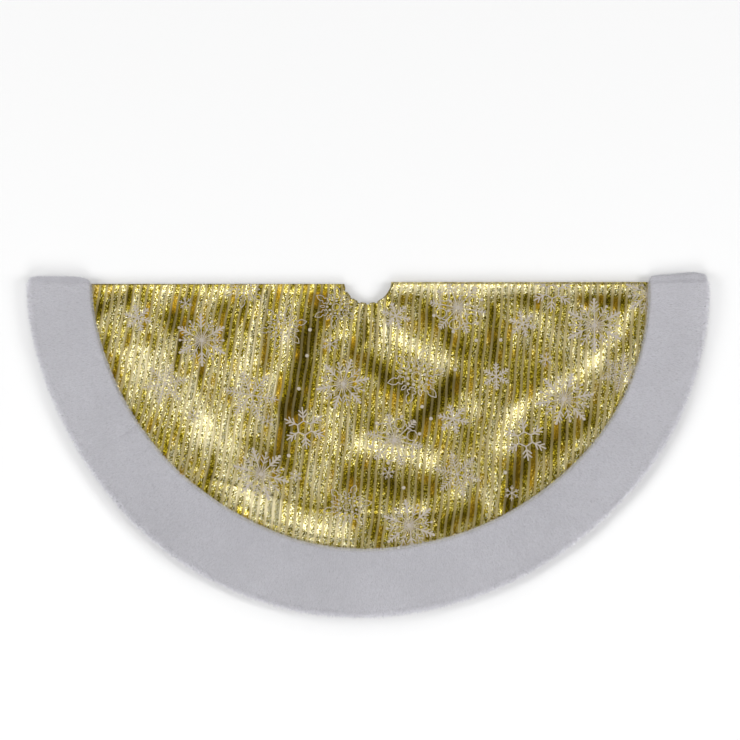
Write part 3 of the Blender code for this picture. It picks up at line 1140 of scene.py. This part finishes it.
def fibre(name, length, width, bend):
    """One tapered fibre, rooted at the origin and bent over towards +X."""
    blade = bmesh.new()
    bmesh.ops.create_grid(blade, x_segments=1, y_segments=2, size=0.5)
    tip = [vert for vert in blade.verts if vert.co.y > 0.4]
    bmesh.ops.pointmerge(blade, verts=tip, merge_co=(0, 0.5, 0))
    for vert in blade.verts:
        share = vert.co.y + 0.5
        vert.co = Vector((bend * share**2, vert.co.x * width * (1 - 0.3 * share), length * share))
    mesh = mesh_of(blade, name)
    along = mesh.attributes.new("along", "FLOAT", "POINT")
    along.data.foreach_set("value", [v.co.z / length for v in mesh.vertices])
    return bpy.data.objects.new(name, mesh)


def random_value(tree, kind, low, high, seed):
    node = tree.nodes.new("FunctionNodeRandomValue")
    node.data_type = kind
    first, output = {"FLOAT": (2, 1), "FLOAT_VECTOR": (0, 0)}[kind]
    node.inputs[first].default_value = low
    node.inputs[first + 1].default_value = high
    node.inputs["Seed"].default_value = seed
    return node.outputs[output]


def grow_pile(name, skin, blade, per_mm2, seed, lean, spread):
    """Fibres all over a skin, leaning outwards from the middle of the hole."""
    tree = bpy.data.node_groups.new(name, "GeometryNodeTree")
    tree.interface.new_socket("Geometry", in_out="INPUT", socket_type="NodeSocketGeometry")
    tree.interface.new_socket("Geometry", in_out="OUTPUT", socket_type="NodeSocketGeometry")
    given, made = tree.nodes.new("NodeGroupInput"), tree.nodes.new("NodeGroupOutput")
    scatter = tree.nodes.new("GeometryNodeDistributePointsOnFaces")
    link(tree, given.outputs[0], scatter.inputs["Mesh"])
    scatter.inputs["Density"].default_value = per_mm2 * 1e6
    scatter.inputs["Seed"].default_value = seed
    place = tree.nodes.new("GeometryNodeInputPosition").outputs[0]
    outwards = vector_maths(tree, "SUBTRACT", place, (0.0, FOLD_Y, 0.0))
    outwards = vector_maths(tree, "MULTIPLY", outwards, (1.0, 1.0, 0.0))
    outwards = vector_maths(tree, "NORMALIZE", outwards)
    leaning = vector_maths(tree, "MULTIPLY", outwards, (lean, lean, 0.0))
    stray = random_value(tree, "FLOAT_VECTOR", (-spread,) * 3, (spread,) * 3, seed + 1)
    aim = vector_maths(tree, "ADD", scatter.outputs["Normal"], leaning)
    aim = vector_maths(tree, "ADD", aim, stray)
    upright = tree.nodes.new("FunctionNodeAlignRotationToVector")
    upright.axis = "Z"
    link(tree, aim, upright.inputs["Vector"])
    combed = tree.nodes.new("FunctionNodeAlignRotationToVector")
    combed.axis = "X"
    combed.pivot_axis = "Z"
    link(tree, upright.outputs[0], combed.inputs["Rotation"])
    link(tree, vector_maths(tree, "ADD", outwards, stray), combed.inputs["Vector"])
    plant = tree.nodes.new("GeometryNodeInstanceOnPoints")
    link(tree, scatter.outputs["Points"], plant.inputs["Points"])
    source = tree.nodes.new("GeometryNodeObjectInfo")
    source.inputs["Object"].default_value = blade
    link(tree, source.outputs["Geometry"], plant.inputs["Instance"])
    link(tree, combed.outputs[0], plant.inputs["Rotation"])
    link(tree, random_value(tree, "FLOAT", 0.75, 1.2, seed + 2), plant.inputs["Scale"])
    tone = tree.nodes.new("GeometryNodeStoreNamedAttribute")
    tone.data_type = "FLOAT"
    tone.domain = "INSTANCE"
    tone.inputs["Name"].default_value = "tone"
    link(tree, plant.outputs[0], tone.inputs["Geometry"])
    link(tree, random_value(tree, "FLOAT", 0.0, 1.0, seed + 3), tone.inputs["Value"])
    real = tree.nodes.new("GeometryNodeRealizeInstances")
    link(tree, tone.outputs[0], real.inputs["Geometry"])
    link(tree, real.outputs[0], made.inputs[0])

    holder = bpy.data.objects.new(name + "_skin", skin)
    bpy.context.scene.collection.objects.link(holder)
    growth = holder.modifiers.new("pile", "NODES")
    growth.node_group = tree
    evaluated = holder.evaluated_get(bpy.context.evaluated_depsgraph_get())
    mesh = bpy.data.meshes.new_from_object(evaluated)
    mesh.name = name
    points = points_of(mesh)
    points[:, 2] = np.clip(points[:, 2], FLATTENED, None)
    move_points(mesh, points)
    bpy.data.objects.remove(holder)
    bpy.data.node_groups.remove(tree)
    mesh.materials.clear()
    return mesh


def plush_pile_piece(name, *growth, material=plush_pile):
    """A piece of the border's pile, grown on a skin."""
    pile = add_piece(name, grow_pile(name, *growth), material)
    return pile


LEAN, STRAY = 0.75, 0.45  # of the border's pile
border_blade = fibre("border_fibre", 0.0052, 0.00062, 0.0030)
underside_blade = fibre("underside_fibre", 0.0048, 0.00085, 0.0028)
slit_blade = fibre("slit_fibre", 0.0062, 0.00062, 0.0026)
fringe_blade = fibre("fringe_fibre", 0.0098, 0.00120, 0.0030)
seam_blade = fibre("seam_fibre", 0.0046, 0.00060, 0.0024)
PILE_SECTORS = {"front": 4, "back": 3}
PILE_DENSITY = {"front": 0.92, "back": 0.55}
FLATTENED = 0.0002  # the floor holds the underside's pile flat at this height
DENT = 0.0011  # the depth of the border's soft dents
section = border_profile(SEAM + 0.002, GROUND_EDGE, LAP_LEVEL, GROUND_LEVEL, GROUND_CROWN)
skin_section = section[1:]


# A crease across the border and places where the pile is tufted: from, to, width, height
BORDER_MARKS = (
    ((-0.462, 0.300), (-0.410, 0.262), 0.006, -0.0022),
    ((-0.288, 0.446), (-0.282, 0.450), 0.007, 0.0015),
    ((-0.150, 0.512), (-0.140, 0.510), 0.008, 0.0016),
    ((0.345, 0.420), (0.372, 0.440), 0.007, -0.0014),
    ((0.300, 0.462), (0.296, 0.468), 0.007, 0.0012),
    ((-0.360, 0.375), (-0.340, 0.366), 0.009, -0.0012),
)


def dented(points, half):
    """The border's points with its soft dents, where it faces outwards, and drawn in."""
    out = HALVES[half]
    top = smooth_step(LAP_LEVEL, LAP_LEVEL + 0.003, (points[:, 2] - FOLD_Z) * out)
    height = DENT * np.clip(plush_surface(points), -2, 1.2)
    for start, end, width, mark in placed(BORDER_MARKS, half):
        away = distance_to((start, end), points[:, 0], FOLD_Y - points[:, 1])
        height += mark * np.exp(-((away / width) ** 2))
    points[:, 2] += out * top * height
    return drawn_in(points, half)


for half, out in HALVES.items():
    mesh = border_band(f"{half}_plush_ground", half, section)
    move_points(mesh, dented(points_of(mesh), half))
    ground = add_piece(f"{half}_plush_ground", mesh, plush_ground)
    across_crease(ground)
    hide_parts(f"{half}_left_plush_border", f"{half}_right_plush_border")
    blade = border_blade if half == "front" else underside_blade
    sectors = PILE_SECTORS[half]
    for sector in range(sectors):
        skin = border_band(
            "skin",
            half,
            skin_section,
            closed=False,
            start=math.pi * sector / sectors,
            turn=math.pi / sectors,
            steps=BORDER_STEPS // sectors,
        )
        outward(skin, half)
        move_points(skin, dented(points_of(skin), half))
        name = f"{half}_pile_{sector + 1}"
        seed = 40 + 10 * sector + (0 if half == "front" else 5)
        pile = plush_pile_piece(name, skin, blade, PILE_DENSITY[half], seed, LEAN, STRAY)
        across_crease(pile)

    # Longer hairs stand out round the rim.
    rim_skin = border_band("skin", half, skin_section[:7], closed=False)
    move_points(rim_skin, dented(points_of(rim_skin), half))
    hole_middle = Vector((0, FOLD_Y))
    if sum(face.normal.xy.dot(face.center.xy - hole_middle) for face in rim_skin.polygons) < 0:
        rim_skin.flip_normals()
    fringe = plush_pile_piece(
        f"{half}_rim_fringe", rim_skin, fringe_blade, 0.42, 80 + out, 0.5, 0.60
    )
    across_crease(fringe)

    # Short hairs lean in over the seam.
    seam_skin = border_band("skin", half, skin_section[-5:], closed=False)
    move_points(seam_skin, dented(points_of(seam_skin), half))
    outward(seam_skin, half)
    fringe = plush_pile_piece(
        f"{half}_seam_fringe", seam_skin, seam_blade, 1.7, 84 + out, -1.1, 0.5, material=seam_pile_painted_gold_light
    )
    across_crease(fringe)


def end_bulge(x):
    """How far the border's ends bulge out along their width: less at their corners."""
    x = abs(x)
    seam_corner = smooth_step(SEAM - 0.004, SEAM + 0.022, x)
    rim_corner = 1 - 0.45 * smooth_step(RIM - 0.016, RIM, x)
    return 0.35 + 0.65 * float(seam_corner * rim_corner)


def end_height(share):
    """How high a rounded end still is, at a share of its length: it drops late."""
    return math.sqrt(max(0.0, 1 - min(abs(share), 1.0) ** 4))


def slit_end(half, open_skin):
    """The border's closed end at the slit: its cross-section, drawn out and rounded off."""
    cap = bmesh.new()
    out = HALVES[half]
    points = np.array([(-radius, FOLD_Y, FOLD_Z + out * level) for radius, level in section])
    ring = [cap.verts.new(point) for point in dented(points, half)]
    face = bmesh.ops.contextual_create(cap, geom=ring)["faces"][0]
    middle = face.calc_center_median()
    before = 1.0
    for step in range(1, SLIT_STEPS + 1):
        turn = math.pi / 2 * step / SLIT_STEPS
        made = bmesh.ops.extrude_face_region(cap, geom=[face])["geom"]
        face = next(item for item in made if isinstance(item, bmesh.types.BMFace))
        shrink = (SLIT_EDGE + (1 - SLIT_EDGE) * end_height(math.sin(turn))) / before
        before *= shrink
        bmesh.ops.scale(
            cap,
            vec=(1 - (1 - shrink) * 0.14, 1, shrink),
            space=Matrix.Translation((-middle.x, 0, -middle.z)),
            verts=face.verts,
        )
        for vert in face.verts:
            vert.co.y = FOLD_Y + SLIT_END * math.sin(turn)
    for vert in cap.verts:
        vert.co.y = FOLD_Y + (vert.co.y - FOLD_Y) * end_bulge(vert.co.x)
    bmesh.ops.recalc_face_normals(cap, faces=cap.faces)
    if open_skin:
        inside = [
            f
            for f in cap.faces
            if all(vert.co.y < FOLD_Y + 0.00001 for vert in f.verts)
            or (f.calc_center_median().z - FOLD_Z) * out < LAP_LEVEL + 0.0004
        ]
        bmesh.ops.delete(cap, geom=inside, context="FACES")
    bmesh.ops.triangulate(cap, faces=[f for f in cap.faces if len(f.verts) > 4])
    return mesh_of(cap, "slit_end")


def soft_end(ground, pile, body):
    """An end of the border, attached to one body."""
    for piece in (ground, pile):
        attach(piece, body)
        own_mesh(piece)


for half, out in HALVES.items():
    ground = add_piece(f"{half}_slit_end", slit_end(half, False), plush_ground)
    skin = slit_end(half, True)
    pile = plush_pile_piece(f"{half}_slit_end_pile", skin, slit_blade, 1.3, 90 + out, LEAN, STRAY)
    soft_end(ground, pile, f"{half}_left")


def fold_band(name, profile, closed, half="front", turn=math.pi, stretch=1.0):
    """The border's cross-section, turned round the half fold from a half's face."""
    out = HALVES[half]
    points = np.array([(radius, FOLD_Y, FOLD_Z + out * level) for radius, level in profile])
    ring = dented(points, half)
    band = turned(ring, closed, (1, 0, 0), (0, FOLD_Y, FOLD_Z), -out * turn, FOLD_STEPS)
    for vert in band.verts:
        past, up = vert.co.y - FOLD_Y, vert.co.z - FOLD_Z
        reach = math.hypot(past, up)
        vert.co.z = FOLD_Z + math.copysign(reach * end_height(past / reach), up)
        vert.co.y = FOLD_Y + past * stretch * end_bulge(vert.co.x)
    mesh = mesh_of(band, name)
    if not closed:
        turn_out(mesh, (0, 1, 0))
    return mesh


mesh = fold_band("fold_plush_ground", section, closed=True)
fold_ground = add_piece("fold_plush_ground", mesh, plush_ground)
round_fold(fold_ground)
fold_skin = fold_band("fold_skin", skin_section, closed=False)
fold_pile = plush_pile_piece("fold_pile", fold_skin, seam_blade, 0.95, 120, 0.0, STRAY)
round_fold(fold_pile)

# At the fold each half's plush bulges out.
for half, out in HALVES.items():
    shape = {"half": half, "turn": math.pi / 2, "stretch": FOLD_STRETCH}
    mesh = fold_band(f"{half}_fold_end", section, closed=True, **shape)
    ground = add_piece(f"{half}_fold_end", mesh, plush_ground)
    skin = fold_band("fold_skin", skin_section, closed=False, **shape)
    pile = plush_pile_piece(f"{half}_fold_end_pile", skin, border_blade, 0.95, 130 + out, LEAN, STRAY)
    soft_end(ground, pile, f"{half}_right")

# --------------------------------------------------------------------------- stitching
# A row of short stitches in gold thread holds the hem round the trunk hole, and another
# the hem along each edge of the slit.

STITCH_IN = 0.005  # from the edge of the hem
STITCH_PITCH, STITCH_LENGTH, THREAD = 0.0042, 0.0031, 0.00055
THREAD_LIFT = 0.0001  # of its middle over the cloth

gold_thread = woven_material("gold_thread", (0.30, 0.22, 0.05), (0.55, 0.44, 0.14), 2600.0, 0.45, 0.0001)


def stitch_row(name, half, places):
    """Stitches that lie on the face cloth, at (x, y, direction)."""
    row = bmesh.new()
    out = HALVES[half]
    for x, y, way in places:
        level = float(cloth_level(half, x, y)) + THREAD_LIFT
        size = Matrix.Diagonal((STITCH_LENGTH / 2, THREAD / 2, THREAD / 2, 1))
        place = Matrix.Translation((x, y, FOLD_Z + out * level)) @ Matrix.Rotation(way, 4, "Z")
        bmesh.ops.create_uvsphere(row, u_segments=8, v_segments=6, radius=1.0, matrix=place @ size)
    mesh = mesh_of(row, name)
    move_points(mesh, drawn_in(points_of(mesh), half))
    return add_piece(name, mesh, gold_thread)


for half, out in HALVES.items():
    radius = HOLE + STITCH_IN
    count = int(math.pi * radius / STITCH_PITCH)
    angles = [math.pi * (i + 0.5) / count for i in range(count)]
    places = [(radius * math.cos(a), FOLD_Y - radius * math.sin(a), math.pi / 2 - a) for a in angles]
    hole_row = stitch_row(f"{half}_hole_stitching", half, places)
    across_crease(hole_row)
    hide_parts(f"{half}_left_hole_stitching", f"{half}_right_hole_stitching")
    count = int((SEAM - radius) / STITCH_PITCH)
    places = [(-radius - STITCH_PITCH * (i + 0.5), FOLD_Y - STITCH_IN, 0.0) for i in range(count)]
    slit_row = stitch_row(f"{half}_slit_stitching", half, places)
    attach(slit_row, f"{half}_left")
    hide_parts(f"{half}_left_slit_stitching")

# ------------------------------------------------------------------------ slit closures
# Three pairs of hook and loop tape tabs close the slit. They are sewn flat to the linings
# inside its edges: the hooks are stiff and sparse, and the loops a dense soft nap.

TAPE = 0.0007  # the tape's thickness, under its hooks or loops
TAPE_CORNER = 0.002
NAP_IN = 0.003  # how much smaller the nap's field is than the tape

closure_tape = woven_material("closure_tape", (0.62, 0.62, 0.60), (0.78, 0.78, 0.76), 700.0, 0.6)
closure_nylon = woven_material("closure_nylon", (0.66, 0.66, 0.64), (0.84, 0.84, 0.82), 3000.0, 0.4)
hook_blade = fibre("hook", 0.00075, 0.00026, 0.00050)
loop_blade = fibre("loop", 0.00070, 0.00050, 0.00055)


def closure_tab(name, blade, per_mm2, seed):
    """A strip of tape with rounded corners, and its hooks or loops on the underside."""
    low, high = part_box(name)
    middle = (low + high) / 2
    size = high - low
    tape = bmesh.new()
    place = Matrix.Translation((middle.x, middle.y, high.z - TAPE / 2))
    bmesh.ops.create_cube(tape, size=1.0, matrix=place @ Matrix.Diagonal((size.x, size.y, TAPE, 1)))
    upright = [e for e in tape.edges if abs(e.verts[0].co.z - e.verts[1].co.z) > TAPE / 2]
    bmesh.ops.bevel(
        tape, geom=upright, offset=TAPE_CORNER, affect="EDGES", segments=5, profile=0.5, material=-1
    )
    flat = [e for e in tape.edges if abs(e.verts[0].co.z - e.verts[1].co.z) < TAPE / 2]
    bmesh.ops.bevel(
        tape, geom=flat, offset=TAPE / 4, affect="EDGES", segments=2, profile=0.5, material=-1
    )
    skin = bmesh.new()
    place = Matrix.Translation((middle.x, middle.y, high.z - TAPE))
    size = Matrix.Diagonal((size.x - NAP_IN, size.y - NAP_IN, 1, 1))
    bmesh.ops.create_grid(skin, x_segments=1, y_segments=1, size=0.5, matrix=place @ size)
    skin_mesh = mesh_of(skin, "skin")
    turn_out(skin_mesh, (0, 0, -1))
    nap = grow_pile(name + "_nap", skin_mesh, blade, per_mm2, seed, 0.1, 0.35)
    own = len(tape.faces)
    tape.from_mesh(nap)
    mesh = mesh_of(tape, name + "_tape")
    for face in mesh.polygons[own:]:
        face.material_index = 1
    return add_piece(name + "_tape", mesh, closure_tape, closure_nylon)


for number in (1, 2, 3):
    for kind, body, blade, per_mm2 in (
        ("hook", "front_left", hook_blade, 1.4),
        ("loop", "back_left", loop_blade, 2.6),
    ):
        tab = closure_tab(f"{kind}_tab_{number}", blade, per_mm2, 200 + number)
        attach(tab, body)
        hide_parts(f"{kind}_tab_{number}")
